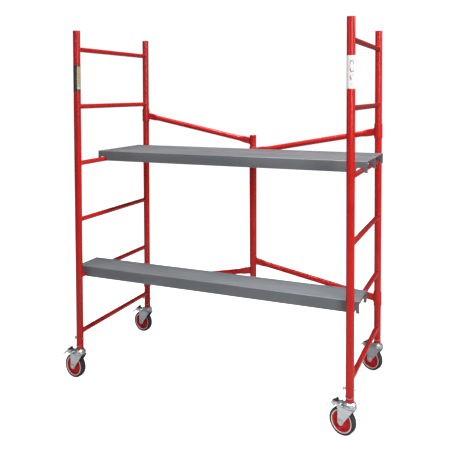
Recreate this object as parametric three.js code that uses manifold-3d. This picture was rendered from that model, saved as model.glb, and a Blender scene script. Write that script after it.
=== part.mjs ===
// Baker scaffold: two ladder frames joined by a folding rear brace, with hook-on planks and locking casters.
//
// Millimetres, +Z up. X runs along the planks, +Y points to the braced side and Z = 0 is the floor.
// The origin is on the floor, below the middle of the object's bounding box.

import * as THREE from 'three';
import { mergeVertices } from 'three/addons/utils/BufferGeometryUtils.js';
import Module from 'manifold-3d';

const wasm = await Module();
wasm.setup();

// ---------------------------------------------------------------- driving dimensions

const GAP = 0.3; // clearance between a piece and the neighbour it is fitted to
const FACETS = 24; // facets round a leg, sleeve or post
const WHEEL_FACETS = 20; // facets round a wheel or a raceway
const SMALL_FACETS = 12; // facets round a rung, arm, pin or bolt
const NOTCH_FACETS = 4; // facets in each rounded corner of a notch
const HEX_SIDES = 6;

const LADDER_SPAN = 1466; // between the leg axes of the two ladders, along X
const LADDER_DEPTH = 710; // between the front and rear leg axes, along Y
const LEG = { outer: 19.05, inner: 17.2, bottom: 162, top: 1877 };
const RUNG = { outer: 12.7, inner: 10.9, pitch: 304.8, count: 6, highest: 1778 };

const BRACE_MIDDLE = 870; // height of the brace's line of symmetry
const POST = { outer: 19.05, inner: 17.2, halfHeight: 423 };
const POST_SLEEVE = { outer: 21.2, inner: 19.7, halfHeight: 352 };
const LEG_SLEEVE = { outer: 22.25, inner: 19.8, length: 79 };
const ARM = {
  outer: 15.5,
  inner: 13.7,
  flatHalfHeight: 20,
  flatHalfThickness: 6.5,
  flatLength: 30,
  flare: 45,
};
const LEFT_WING = { riseAtLeg: 533, riseAtPost: 386 };
const RIGHT_WING = { riseAtLeg: 462, riseAtPost: 326 };

const PLANK = { length: 1536, height: 56, sheet: 2, flange: 16 };
const HOOK = { width: 40, depth: 23, corner: 11 }; // the notch over a rung
const RIB = { width: 44, depth: 26, sheet: 2 };
// The middle of each plank, its width, and which rung from the top it hooks on.
const UPPER_REAR = { x: -6, y: 222, width: 220, rung: 2 };
const UPPER_MIDDLE = { x: -6, y: 0, width: 220, rung: 2 };
const LOWER_FRONT = { x: -2, y: -229, width: 178, rung: 4 };

const WHEEL = { radius: 63.5, halfWidth: 16, seat: 49, trail: 36 };
const TREAD = { shoulder: 6, edge: 1.5, edgeWidth: 4, crownWidth: 9, seatInset: 2 };
const HUB = { bore: 6.9, boss: 13, bossHalf: 18.5, web: 15, webRim: 37, webHalf: 6, rim: 41, rimHalf: 13 };
const AXLE = { radius: 6.35, headRadius: 10.5, headHeight: 6, sunk: 1 };
const FORK = { inside: 19.5, sheet: 3, crown: 133.5, crownSheet: 4, front: -29, rear: 51, foot: 15, heel: 6 };
// The fork's tab round the pedal's pivot.
const EAR = { behindPivot: 7, above: 6, below: 8, crownSetback: 7, slope: 14 };
const RACEWAY = { radius: 31, top: 151, chamfer: 3, neck: 4, sunk: 1 };
const STEM = { radius: 15.8, length: 100, collar: 22, plate: 28, plateSheet: 4, plateTaper: 2 };
const PIN = { radius: 4, hole: 4.6, aboveLegBottom: 56, tip: 8 };
const PIN_HEAD = { radius: 7, fromLeg: 10, outward: 3, inward: 4 };
const PEDAL = { pivotX: 50, pivotZ: 139, pinRadius: 3, pinPlay: 0.5, pinEnd: 2, halfWidth: 14, sheet: 4 };
const STRAP = { lip: 3.5, under: 2.5, over: 2, shoeLead: 2, shoeTail: 3, bend: 5, sag: 1 };
const TOE = { reach: 128, low: 100, rise: 20, run: 25, taper: 2, nose: 2.5, lip: 3 };
const SHOE = { front: 70, rear: 78, clearance: 8 };

// The way each caster trails at rest, in degrees from +X.
const TRAIL_ANGLE = { left_front: 172, left_rear: 171, right_front: 162, right_rear: 158 };

// ---------------------------------------------------------------- materials

function paint(name, color, roughness, metalness) {
  return new THREE.MeshStandardMaterial({ name, color, roughness, metalness });
}

const redPaint = paint('red_paint', 0xd0221f, 0.35, 0.0);
const greyPaint = paint('grey_paint', 0x878d92, 0.45, 0.1);
const zinc = paint('zinc', 0xc9ced0, 0.3, 0.9);
const redPlastic = paint('red_plastic', 0xc81e26, 0.4, 0.0);
const rubber = paint('rubber', 0x2e3436, 0.8, 0.0);

// ---------------------------------------------------------------- solids

function toSolid(geometry) {
  const bare = geometry.clone();
  bare.deleteAttribute('normal');
  bare.deleteAttribute('uv');
  const merged = mergeVertices(bare);
  return new wasm.Manifold(
    new wasm.Mesh({
      numProp: 3,
      vertProperties: new Float32Array(merged.attributes.position.array),
      triVerts: new Uint32Array(merged.index.array),
    }),
  );
}

function toGeometry(solid) {
  const mesh = solid.getMesh();
  const geometry = new THREE.BufferGeometry();
  geometry.setAttribute('position', new THREE.BufferAttribute(mesh.vertProperties, 3));
  geometry.setIndex(new THREE.BufferAttribute(mesh.triVerts, 1));
  geometry.computeVertexNormals();
  return geometry;
}

function subtract(geometry, ...tools) {
  let solid = toSolid(geometry);
  for (const tool of tools) {
    solid = solid.subtract(toSolid(tool));
  }
  return toGeometry(solid);
}

function unite(...geometries) {
  let solid = toSolid(geometries[0]);
  for (const geometry of geometries.slice(1)) {
    solid = solid.add(toSolid(geometry));
  }
  return toGeometry(solid);
}

// A solid of revolution about Z. The outline holds [radius, height] points, anticlockwise with radius to
// the right, and it either closes on itself or starts and ends on the axis.
function turned(outline, facets = FACETS) {
  const points = outline.map(([radius, height]) => new THREE.Vector2(radius, height));
  return new THREE.LatheGeometry(points, facets).rotateX(Math.PI / 2);
}

function tube(outer, inner, low, high, facets = FACETS) {
  const outline = [
    [inner, low],
    [outer, low],
    [outer, high],
    [inner, high],
    [inner, low],
  ];
  return turned(outline, facets);
}

function rod(radius, low, high, facets = FACETS) {
  const outline = [
    [0, low],
    [radius, low],
    [radius, high],
    [0, high],
  ];
  return turned(outline, facets);
}

// A plate cut from a flat outline and standing between two values of the axis it is extruded along.
function plate(outline, low, high) {
  const shape = new THREE.Shape(outline.map(([a, b]) => new THREE.Vector2(a, b)));
  const settings = { depth: high - low, bevelEnabled: false };
  return new THREE.ExtrudeGeometry(shape, settings).translate(0, 0, low);
}

function box(lowX, highX, lowY, highY, lowZ, highZ) {
  const geometry = new THREE.BoxGeometry(highX - lowX, highY - lowY, highZ - lowZ);
  return geometry.translate((lowX + highX) / 2, (lowY + highY) / 2, (lowZ + highZ) / 2);
}

const legX = { left: -LADDER_SPAN / 2, right: LADDER_SPAN / 2 };
const legY = { front: -LADDER_DEPTH / 2, rear: LADDER_DEPTH / 2 };

const scaffold = new THREE.Group();

function place(parent, name, geometry, material) {
  const mesh = new THREE.Mesh(geometry, material);
  mesh.name = name;
  parent.add(mesh);
  return mesh;
}

// ---------------------------------------------------------------- ladder frames

// A leg is an open tube, cross-drilled near its foot for the caster pin.
function legGeometry() {
  const pinHeight = LEG.bottom + PIN.aboveLegBottom;
  const drill = rod(PIN.hole, -2 * LEG.outer, 2 * LEG.outer, SMALL_FACETS)
    .rotateY(Math.PI / 2)
    .translate(0, 0, pinHeight);
  return subtract(tube(LEG.outer, LEG.inner, LEG.bottom, LEG.top), drill);
}

// A rung is a tube whose ends are scooped to meet the round legs.
function rungGeometry() {
  const half = LADDER_DEPTH / 2;
  const bar = tube(RUNG.outer, RUNG.inner, -half, half, SMALL_FACETS).rotateX(Math.PI / 2);
  const scoop = () => rod(LEG.outer + GAP, -2 * RUNG.outer, 2 * RUNG.outer);
  return subtract(bar, scoop().translate(0, -half, 0), scoop().translate(0, half, 0));
}

function addLadder(side) {
  const ladder = new THREE.Group();
  ladder.position.x = legX[side];
  for (const end of ['front', 'rear']) {
    place(ladder, `${side}_${end}_leg`, legGeometry(), redPaint).position.y = legY[end];
  }
  for (let i = 0; i < RUNG.count; i += 1) {
    const rung = place(ladder, `${side}_rung_${i + 1}`, rungGeometry(), redPaint);
    rung.position.z = RUNG.highest - i * RUNG.pitch;
  }
  scaffold.add(ladder);
}

// ---------------------------------------------------------------- folding rear brace

// A brace arm is a round tube, crimped to a tall flat at both ends. It runs from (0, 0) on the leg axis
// to the post axis, rising by `rise`, and its ends are scooped to fit the sleeve and the post.
function armGeometry(run, rise, postRadius) {
  const length = Math.hypot(run, rise);
  const stations = [0, ARM.flatLength, ARM.flatLength + ARM.flare / 2, ARM.flatLength + ARM.flare];
  const near = stations.map((s) => s + LEG.outer);
  const far = stations.map((s) => length - LEG.outer - s).reverse();
  const heights = [...near, ...far];
  heights[0] = 0;
  heights[heights.length - 1] = length;
  const outline = [
    ...heights.map((height) => [ARM.outer, height]),
    ...heights.map((height) => [ARM.inner, height]).reverse(),
    [ARM.outer, 0],
  ];
  const arm = turned(outline, SMALL_FACETS);
  crimpEnds(arm, length);
  arm.rotateY(Math.PI / 2 - Math.atan2(rise, Math.abs(run)));
  if (run < 0) {
    arm.rotateZ(Math.PI);
  }
  const tall = 3 * ARM.flatHalfHeight;
  const sleeve = rod(LEG_SLEEVE.outer + GAP, -tall, tall);
  const post = rod(postRadius + GAP, rise - tall, rise + tall).translate(run, 0, 0);
  return subtract(arm, sleeve, post);
}

// Flattens a tube that stands along Z: near both ends its X grows to the flat's height and its Y shrinks
// to the flat's thickness.
function crimpEnds(geometry, length) {
  const position = geometry.attributes.position;
  const wall = ARM.outer - ARM.inner;
  for (let i = 0; i < position.count; i += 1) {
    const x = position.getX(i);
    const y = position.getY(i);
    const z = position.getZ(i);
    const fromEnd = Math.min(z, length - z) - LEG.outer - ARM.flatLength;
    const flatness = 1 - THREE.MathUtils.smoothstep(fromEnd, 0, ARM.flare);
    const radius = Math.hypot(x, y);
    const inset = radius > (ARM.outer + ARM.inner) / 2 ? 0 : wall;
    const height = THREE.MathUtils.lerp(radius, ARM.flatHalfHeight - inset, flatness);
    const thickness = THREE.MathUtils.lerp(radius, ARM.flatHalfThickness - inset, flatness);
    position.setXYZ(i, (x / radius) * height, (y / radius) * thickness, z);
  }
}

function addWing(side, wing, postPiece) {
  const group = new THREE.Group();
  group.position.set(legX[side], legY.rear, BRACE_MIDDLE);
  const half = LEG_SLEEVE.length / 2;
  for (const [level, sign] of [['upper', 1], ['lower', -1]]) {
    const sleeve = tube(LEG_SLEEVE.outer, LEG_SLEEVE.inner, -half, half);
    place(group, `${side}_wing_${level}_sleeve`, sleeve, redPaint).position.z = sign * wing.riseAtLeg;
    const arm = armGeometry(-legX[side], sign * (wing.riseAtPost - wing.riseAtLeg), postPiece.outer);
    place(group, `${side}_wing_${level}_arm`, arm, redPaint).position.z = sign * wing.riseAtLeg;
  }
  const post = tube(postPiece.outer, postPiece.inner, -postPiece.halfHeight, postPiece.halfHeight);
  const name = side === 'left' ? 'brace_post' : 'brace_post_sleeve';
  place(group, name, post, redPaint).position.x = -legX[side];
  scaffold.add(group);
}

// ---------------------------------------------------------------- planks

// A plank is one folded sheet: a flat deck, two side rails and a small flange turned in below each rail.
// Both ends of both rails are notched from below to hook over a rung. Its local Z = 0 is the rung's axis.
const plankBottom = RUNG.outer + GAP - HOOK.depth;
const plankTop = plankBottom + PLANK.height;

function plankGeometry(width) {
  const half = width / 2;
  const inner = half - PLANK.sheet;
  const flange = half - PLANK.flange;
  const outline = [
    [-half, plankBottom],
    [-flange, plankBottom],
    [-flange, plankBottom + PLANK.sheet],
    [-inner, plankBottom + PLANK.sheet],
    [-inner, plankTop - PLANK.sheet],
    [inner, plankTop - PLANK.sheet],
    [inner, plankBottom + PLANK.sheet],
    [flange, plankBottom + PLANK.sheet],
    [flange, plankBottom],
    [half, plankBottom],
    [half, plankTop],
    [-half, plankTop],
  ];
  const sheet = plate(outline, -PLANK.length / 2, PLANK.length / 2).rotateX(Math.PI / 2).rotateZ(Math.PI / 2);
  const notches = [-1, 1].map((end) => notchGeometry(width).translate((end * LADDER_SPAN) / 2, 0, 0));
  return subtract(sheet, ...notches);
}

// The notch is square below and has rounded upper corners; its top bears on the rung. The cutter is
// longer than the plank is wide and starts below it.
function notchGeometry(width) {
  const half = HOOK.width / 2;
  const top = RUNG.outer + GAP;
  const below = plankBottom - PLANK.sheet;
  const shape = new THREE.Shape();
  shape.moveTo(-half, below);
  shape.lineTo(half, below);
  shape.lineTo(half, top - HOOK.corner);
  shape.absarc(half - HOOK.corner, top - HOOK.corner, HOOK.corner, 0, Math.PI / 2, false);
  shape.absarc(-half + HOOK.corner, top - HOOK.corner, HOOK.corner, Math.PI / 2, Math.PI, false);
  shape.closePath();
  const depth = width + 2 * PLANK.sheet;
  const settings = { depth, bevelEnabled: false, curveSegments: NOTCH_FACETS };
  const notch = new THREE.ExtrudeGeometry(shape, settings);
  return notch.rotateX(Math.PI / 2).translate(0, depth / 2, 0);
}

// A stiffening channel that crosses below the middle of the deck, open side down.
function ribGeometry(width) {
  const top = plankTop - PLANK.sheet - GAP;
  const half = RIB.width / 2;
  const inner = half - RIB.sheet;
  const outline = [
    [-half, top - RIB.depth],
    [-inner, top - RIB.depth],
    [-inner, top - RIB.sheet],
    [inner, top - RIB.sheet],
    [inner, top - RIB.depth],
    [half, top - RIB.depth],
    [half, top],
    [-half, top],
  ];
  const reach = width / 2 - PLANK.sheet - GAP;
  return plate(outline, -reach, reach).rotateX(Math.PI / 2);
}

function addPlank(name, { x, y, width, rung }) {
  const plank = new THREE.Group();
  plank.position.set(x, y, RUNG.highest - rung * RUNG.pitch);
  place(plank, name, plankGeometry(width), greyPaint);
  place(plank, `${name}_rib`, ribGeometry(width), greyPaint);
  scaffold.add(plank);
}

// ---------------------------------------------------------------- casters

// The caster's local axes: origin on the floor below the stem, +X the way the wheel trails, Y the axle.

// The stem plugs into the leg, with a collar below the leg and the raceway's fixed upper plate.
function stemGeometry() {
  const collarTop = LEG.bottom - GAP;
  const plateLow = RACEWAY.top + GAP;
  const plateHigh = plateLow + STEM.plateSheet;
  const outline = [
    [0, plateLow],
    [STEM.plate, plateLow],
    [STEM.plate, plateHigh],
    [STEM.collar, plateHigh + STEM.plateTaper],
    [STEM.collar, collarTop],
    [STEM.radius, collarTop],
    [STEM.radius, LEG.bottom + STEM.length],
    [0, LEG.bottom + STEM.length],
  ];
  const drill = rod(PIN.hole, -2 * STEM.radius, 2 * STEM.radius, SMALL_FACETS)
    .rotateY(Math.PI / 2)
    .translate(0, 0, LEG.bottom + PIN.aboveLegBottom);
  return subtract(turned(outline, WHEEL_FACETS), drill);
}

// The fork has a raceway drum on a crown plate, and two cheeks that taper down to the axle.
function forkGeometry() {
  const outside = FORK.inside + FORK.sheet;
  const crownTop = FORK.crown + FORK.crownSheet;
  const crownRear = FORK.rear - EAR.crownSetback;
  const crown = box(FORK.front, crownRear, -outside, outside, FORK.crown, crownTop);
  const drum = turned([
    [0, crownTop - RACEWAY.sunk],
    [RACEWAY.radius - RACEWAY.neck, crownTop - RACEWAY.sunk],
    [RACEWAY.radius, crownTop + RACEWAY.chamfer],
    [RACEWAY.radius, RACEWAY.top - RACEWAY.chamfer],
    [RACEWAY.radius - RACEWAY.chamfer, RACEWAY.top],
    [0, RACEWAY.top],
  ], WHEEL_FACETS);
  const earRear = PEDAL.pivotX + EAR.behindPivot;
  const cheek = [
    [FORK.front, crownTop],
    [crownRear, crownTop],
    [crownRear, PEDAL.pivotZ + EAR.above],
    [earRear, PEDAL.pivotZ + EAR.above],
    [earRear, PEDAL.pivotZ - EAR.below],
    [FORK.rear, FORK.crown - EAR.slope],
    [WHEEL.trail + FORK.foot, WHEEL.radius - FORK.heel],
    [WHEEL.trail + FORK.foot / 2, WHEEL.radius - FORK.foot],
    [WHEEL.trail - FORK.foot / 2, WHEEL.radius - FORK.foot],
    [WHEEL.trail - FORK.foot, WHEEL.radius - FORK.heel],
    [FORK.front, FORK.crown],
  ];
  const nearCheek = plate(cheek, -FORK.sheet / 2, FORK.sheet / 2).rotateX(Math.PI / 2);
  const farCheek = nearCheek.clone();
  const offset = FORK.inside + FORK.sheet / 2;
  const drill = (radius, x, z) => {
    return rod(radius, -2 * outside, 2 * outside, SMALL_FACETS).rotateX(Math.PI / 2).translate(x, 0, z);
  };
  const axleHole = drill(AXLE.radius + GAP, WHEEL.trail, WHEEL.radius);
  const pedalHole = drill(PEDAL.pinRadius + PEDAL.pinPlay, PEDAL.pivotX, PEDAL.pivotZ);
  const body = unite(crown, drum, nearCheek.translate(0, -offset, 0), farCheek.translate(0, offset, 0));
  return subtract(body, axleHole, pedalHole);
}

// The hub is a dished disc: a boss, a thin web and a deep rim.
function hubGeometry() {
  const seat = WHEEL.seat - GAP;
  return turned([
    [HUB.bore, -HUB.bossHalf],
    [HUB.boss, -HUB.bossHalf],
    [HUB.web, -HUB.webHalf],
    [HUB.webRim, -HUB.webHalf],
    [HUB.rim, -HUB.rimHalf],
    [seat, -HUB.rimHalf],
    [seat, HUB.rimHalf],
    [HUB.rim, HUB.rimHalf],
    [HUB.webRim, HUB.webHalf],
    [HUB.web, HUB.webHalf],
    [HUB.boss, HUB.bossHalf],
    [HUB.bore, HUB.bossHalf],
    [HUB.bore, -HUB.bossHalf],
  ], WHEEL_FACETS).rotateX(Math.PI / 2);
}

function tyreGeometry() {
  const { radius, halfWidth, seat } = WHEEL;
  const shoulder = radius - TREAD.shoulder;
  const edge = radius - TREAD.edge;
  const edgeHalf = halfWidth - TREAD.edgeWidth;
  const crownHalf = halfWidth - TREAD.crownWidth;
  const seatHalf = halfWidth - TREAD.seatInset;
  return turned([
    [seat, -seatHalf],
    [shoulder, -halfWidth],
    [edge, -edgeHalf],
    [radius, -crownHalf],
    [radius, crownHalf],
    [edge, edgeHalf],
    [shoulder, halfWidth],
    [seat, seatHalf],
    [seat, -seatHalf],
  ], WHEEL_FACETS).rotateX(Math.PI / 2);
}

// A bolt through fork and wheel, with a hexagonal head at one end and its nut at the other.
function axleGeometry() {
  const face = FORK.inside + FORK.sheet + GAP;
  const head = () => rod(AXLE.headRadius, 0, AXLE.headHeight, HEX_SIDES);
  const shank = rod(AXLE.radius, -face - AXLE.sunk, face + AXLE.sunk, SMALL_FACETS);
  const lowHead = head().translate(0, 0, -face - AXLE.headHeight);
  return unite(shank, lowHead, head().translate(0, 0, face)).rotateX(Math.PI / 2);
}

// The brake pedal pivots between the fork's ears and reaches back over the tyre. A shoe hangs from it,
// just clear of the tread, and its strap bends down behind the wheel to the toe.
function pedalGeometry() {
  const { pivotX, pivotZ, pinRadius, halfWidth, sheet } = PEDAL;
  const shoeHeight = (x) => {
    const fromTread = WHEEL.radius + SHOE.clearance;
    return WHEEL.radius + Math.sqrt(fromTread ** 2 - (x - WHEEL.trail) ** 2);
  };
  const front = pivotX - STRAP.lip;
  const bend = TOE.reach - TOE.run;
  const outline = [
    [front, pivotZ - STRAP.under],
    [SHOE.front - STRAP.shoeLead, pivotZ],
    [SHOE.front, shoeHeight(SHOE.front)],
    [SHOE.rear, shoeHeight(SHOE.rear)],
    [SHOE.rear + STRAP.shoeTail, pivotZ - STRAP.sag],
    [bend - TOE.taper, TOE.low + TOE.rise],
    [TOE.reach - TOE.nose, TOE.low],
    [TOE.reach, TOE.low + TOE.lip],
    [bend, TOE.low + TOE.rise + sheet],
    [SHOE.rear + STRAP.bend, pivotZ + sheet],
    [front, pivotZ + sheet + STRAP.over],
  ].reverse();
  const strap = plate(outline, -halfWidth, halfWidth).rotateX(Math.PI / 2);
  const pinReach = FORK.inside + FORK.sheet + PEDAL.pinEnd;
  const pin = rod(pinRadius, -pinReach, pinReach, SMALL_FACETS)
    .rotateX(Math.PI / 2)
    .translate(pivotX, 0, pivotZ);
  return unite(strap, pin);
}

// The caster pin crosses leg and stem along X. Its head is on the -X side and its tip shows on the other.
function pinGeometry() {
  const start = -LEG.outer - PIN_HEAD.fromLeg;
  const shaft = rod(PIN.radius, start, LEG.outer + PIN.tip, SMALL_FACETS);
  const knob = rod(PIN_HEAD.radius, start - PIN_HEAD.outward, start + PIN_HEAD.inward, SMALL_FACETS);
  return unite(shaft, knob).rotateY(Math.PI / 2);
}

function addCaster(side, end) {
  const corner = `${side}_${end}`;
  const leg = new THREE.Group();
  leg.position.set(legX[side], legY[end], 0);
  place(leg, `${corner}_caster_stem`, stemGeometry(), zinc);
  place(leg, `${corner}_caster_pin`, pinGeometry(), zinc).position.z = LEG.bottom + PIN.aboveLegBottom;
  const swivel = new THREE.Group();
  swivel.rotation.z = THREE.MathUtils.degToRad(TRAIL_ANGLE[corner]);
  place(swivel, `${corner}_caster_fork`, forkGeometry(), zinc);
  place(swivel, `${corner}_caster_pedal`, pedalGeometry(), zinc);
  const wheel = new THREE.Group();
  wheel.position.set(WHEEL.trail, 0, WHEEL.radius);
  place(wheel, `${corner}_caster_axle`, axleGeometry(), zinc);
  place(wheel, `${corner}_caster_hub`, hubGeometry(), redPlastic);
  place(wheel, `${corner}_caster_tyre`, tyreGeometry(), rubber);
  swivel.add(wheel);
  leg.add(swivel);
  scaffold.add(leg);
}

// ---------------------------------------------------------------- assembly

for (const side of ['left', 'right']) {
  addLadder(side);
  addCaster(side, 'front');
  addCaster(side, 'rear');
}
addWing('left', LEFT_WING, POST);
addWing('right', RIGHT_WING, POST_SLEEVE);
addPlank('upper_rear_plank', UPPER_REAR);
addPlank('upper_middle_plank', UPPER_MIDDLE);
addPlank('lower_front_plank', LOWER_FRONT);

const middle = new THREE.Box3().setFromObject(scaffold, true).getCenter(new THREE.Vector3());
scaffold.position.set(-middle.x, -middle.y, 0);

export default scaffold;
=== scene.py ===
"""Baker scaffold: the finished look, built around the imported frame.

Shapes are drawn in millimetres in small local frames and placed in metres on the frame's own axes:
+X along the planks, +Y to the rear with the folding brace, +Z up, floor at Z = 0.
"""

import math

import bmesh
import bpy
from mathutils import Matrix, Vector


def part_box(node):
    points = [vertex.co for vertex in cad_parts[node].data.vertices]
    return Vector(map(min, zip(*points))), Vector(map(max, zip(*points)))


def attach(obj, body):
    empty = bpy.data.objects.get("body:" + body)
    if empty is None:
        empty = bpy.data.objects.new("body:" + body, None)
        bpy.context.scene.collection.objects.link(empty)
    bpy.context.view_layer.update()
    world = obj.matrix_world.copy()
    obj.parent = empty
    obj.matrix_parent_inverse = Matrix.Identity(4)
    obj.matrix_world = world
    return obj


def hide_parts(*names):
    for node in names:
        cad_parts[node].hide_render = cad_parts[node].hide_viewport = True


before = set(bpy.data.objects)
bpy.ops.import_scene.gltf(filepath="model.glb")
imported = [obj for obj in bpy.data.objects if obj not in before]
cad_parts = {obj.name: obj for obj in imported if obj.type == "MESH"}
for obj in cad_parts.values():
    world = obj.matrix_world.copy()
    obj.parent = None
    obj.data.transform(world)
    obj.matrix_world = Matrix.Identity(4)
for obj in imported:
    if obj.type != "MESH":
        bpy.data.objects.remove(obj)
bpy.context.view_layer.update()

MM = 0.001
TURN = 2 * math.pi

# Sizes of the design, in millimetres, as in the CAD part.
LEG_OUTER, LEG_INNER = 19.05, 17.2
RUNG_OUTER, RUNG_INNER = 12.7, 10.9
SLEEVE_OUTER, SLEEVE_INNER = 22.25, 19.8
POST_SLEEVE_OUTER, POST_SLEEVE_INNER = 21.2, 19.7
ARM_RADIUS = 15.5
ARM_FLAT_HALF_HEIGHT, ARM_FLAT_HALF_THICKNESS = 20.0, 6.5
ARM_FLAT_LENGTH, ARM_FLARE = 30.0, 45.0
PLANK_HEIGHT, PLANK_SHEET, PLANK_FLANGE = 56.0, 2.0, 16.0
HOOK_LIP, HOOK_WIDTH, HOOK_DEPTH, HOOK_CORNER = 15.0, 40.0, 23.0, 11.0
RIB_WIDTH, RIB_DEPTH = 44.0, 26.0
TRAIL = 36.0
WHEEL_RADIUS, TYRE_SEAT = 63.5, 49.0
FORK_INSIDE, FORK_SHEET, FORK_CROWN = 19.5, 3.0, 133.5
FORK_FRONT, FORK_REAR, FORK_FOOT = -29.0, 51.0, 15.0
RACEWAY_RADIUS, RACEWAY_TOP = 31.0, 151.0
LEG_BOTTOM, STEM_LENGTH = 162.0, 100.0
PIN_RADIUS, PIN_HOLE, PIN_ABOVE_LEG_BOTTOM = 4.0, 4.6, 56.0
PEDAL_PIVOT_X, PEDAL_PIVOT_Z = 50.0, 139.0
PEDAL_PIN_RADIUS, PEDAL_PIN_HOLE, PEDAL_HALF_WIDTH = 3.0, 3.5, 14.0
AXLE_RADIUS = 6.35
RUNGS = 6

SIDES = ("left", "right")
ENDS = ("front", "rear")


# ---------------------------------------------------------------- meshes

class Shape:
    """Collects closed shells in millimetres; build() turns them into one object in metres."""

    def __init__(self):
        self.verts = []
        self.faces = []

    def loft(self, rings, join=False, cap=True):
        """Skins closed rings of equal length. join ties the last ring to the first; cap closes both ends."""
        base = len(self.verts)
        count = len(rings[0])
        for ring in rings:
            self.verts.extend(Vector(p) for p in ring)
        spans = len(rings) if join else len(rings) - 1
        for i in range(spans):
            a = base + i * count
            b = base + ((i + 1) % len(rings)) * count
            for j in range(count):
                k = (j + 1) % count
                self.faces.append((a + j, a + k, b + k, b + j))
        if cap and not join:
            last = base + (len(rings) - 1) * count
            self.faces.append(tuple(range(base + count - 1, base - 1, -1)))
            self.faces.append(tuple(range(last, last + count)))
        return self

    def lathe(self, profile, count=64, place=None):
        """Turns a closed profile of (radius, height) points about Z."""
        rings = []
        for i in range(count):
            angle = TURN * i / count
            ring = [Vector((r * math.cos(angle), r * math.sin(angle), z)) for r, z in profile]
            rings.append([place @ p for p in ring] if place else ring)
        return self.loft(rings, join=True)

    def spindle(self, profile, count=48, place=None):
        """Turns an open profile, from axis to axis, about Z; its first and last point lie near the axis."""
        rings = []
        for r, z in profile:
            ring = [
                Vector((r * math.cos(TURN * i / count), r * math.sin(TURN * i / count), z))
                for i in range(count)
            ]
            rings.append([place @ p for p in ring] if place else ring)
        return self.loft(rings)

    def prism(self, outline, low, high, place=None):
        """Extrudes a flat (a, b) outline along the third axis."""
        rings = []
        for level in (low, high):
            ring = [Vector((a, b, level)) for a, b in outline]
            rings.append([place @ p for p in ring] if place else ring)
        return self.loft(rings)

    def cord(self, path, radius, sides=8, closed=False):
        """Sweeps a round section along a path; radius is a number or a function of the path's share."""
        count = len(path)
        rings = []
        reference = None
        for i, point in enumerate(path):
            before = path[(i - 1) % count] if closed or i else path[0]
            after = path[(i + 1) % count] if closed or i < count - 1 else path[-1]
            tangent = (after - before).normalized()
            if reference is None:
                reference = tangent.orthogonal()
            normal = (reference - tangent * reference.dot(tangent)).normalized()
            reference = normal
            side = tangent.cross(normal)
            size = radius(i / count) if callable(radius) else radius
            rings.append([
                point + size * (normal * math.cos(TURN * j / sides) + side * math.sin(TURN * j / sides))
                for j in range(sides)
            ])
        return self.loft(rings, join=closed)

    def add(self, other, matrix=None):
        base = len(self.verts)
        self.verts.extend(matrix @ v if matrix else v.copy() for v in other.verts)
        self.faces.extend(tuple(base + i for i in face) for face in other.faces)
        return self

    def build(self, name, material, place=None):
        mesh = bpy.data.meshes.new(name)
        place = place or Matrix.Identity(4)
        scale = Matrix.Scale(MM, 4)
        mesh.from_pydata([place @ (scale @ v) for v in self.verts], [], self.faces)
        obj = bpy.data.objects.new(name, mesh)
        bpy.context.scene.collection.objects.link(obj)
        mesh.materials.append(material)
        tidy_normals(obj)
        return obj


SHARP_ANGLE = math.radians(34)


def tidy_normals(obj):
    """Faces outward and smooth, with the real corners kept sharp."""
    bm = bmesh.new()
    bm.from_mesh(obj.data)
    bmesh.ops.recalc_face_normals(bm, faces=bm.faces)
    for face in bm.faces:
        face.smooth = True
    for edge in bm.edges:
        if len(edge.link_faces) == 2:
            edge.smooth = edge.calc_face_angle(0) < SHARP_ANGLE
    bm.to_mesh(obj.data)
    bm.free()


def apply_modifiers(obj):
    depsgraph = bpy.context.evaluated_depsgraph_get()
    baked = bpy.data.meshes.new_from_object(obj.evaluated_get(depsgraph))
    obj.modifiers.clear()
    obj.data = baked
    tidy_normals(obj)
    return obj


def carve(obj, cutter_shape, place=None):
    """Cuts a shape out of a piece."""
    cutter = cutter_shape.build("cutter", obj.data.materials[0], place)
    cut = obj.modifiers.new("cut", "BOOLEAN")
    cut.operation = "DIFFERENCE"
    cut.solver = "EXACT"
    cut.object = cutter
    apply_modifiers(obj)
    bpy.data.objects.remove(cutter)
    return obj


def at(x, y, z=0.0):
    return Matrix.Translation(Vector((x, y, z)))


def turn(angle, axis):
    return Matrix.Rotation(angle, 4, axis)


def arc(cx, cy, radius, start, stop, steps):
    """Points on an arc, angles in degrees."""
    return [
        (cx + radius * math.cos(math.radians(start + (stop - start) * i / steps)),
         cy + radius * math.sin(math.radians(start + (stop - start) * i / steps)))
        for i in range(steps + 1)
    ]


def rounded(points, radius, steps=5, closed=False):
    """A polyline whose corners are replaced by arcs."""
    result = []
    count = len(points)
    for i, point in enumerate(points):
        if not closed and i in (0, count - 1):
            result.append(point)
            continue
        here = Vector(point)
        back = Vector(points[i - 1]) - here
        on = Vector(points[(i + 1) % count]) - here
        half = back.angle(on) / 2
        reach = min(radius / math.tan(half), back.length * 0.49, on.length * 0.49)
        start = here + back.normalized() * reach
        stop = here + on.normalized() * reach
        for k in range(steps + 1):
            t = k / steps
            bend = start * (1 - t) ** 2 + here * 2 * t * (1 - t) + stop * t ** 2
            result.append((bend.x, bend.y))
    return result


def thickened(points, thickness):
    """The closed outline of a sheet that follows an open polyline."""
    left, right = [], []
    for i, point in enumerate(points):
        here = Vector(point)
        before = Vector(points[max(i - 1, 0)])
        after = Vector(points[min(i + 1, len(points) - 1)])
        along = (after - before).normalized()
        normal = Vector((-along.y, along.x)) * thickness / 2
        left.append(tuple(here + normal))
        right.append(tuple(here - normal))
    return left + right[::-1]


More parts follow.
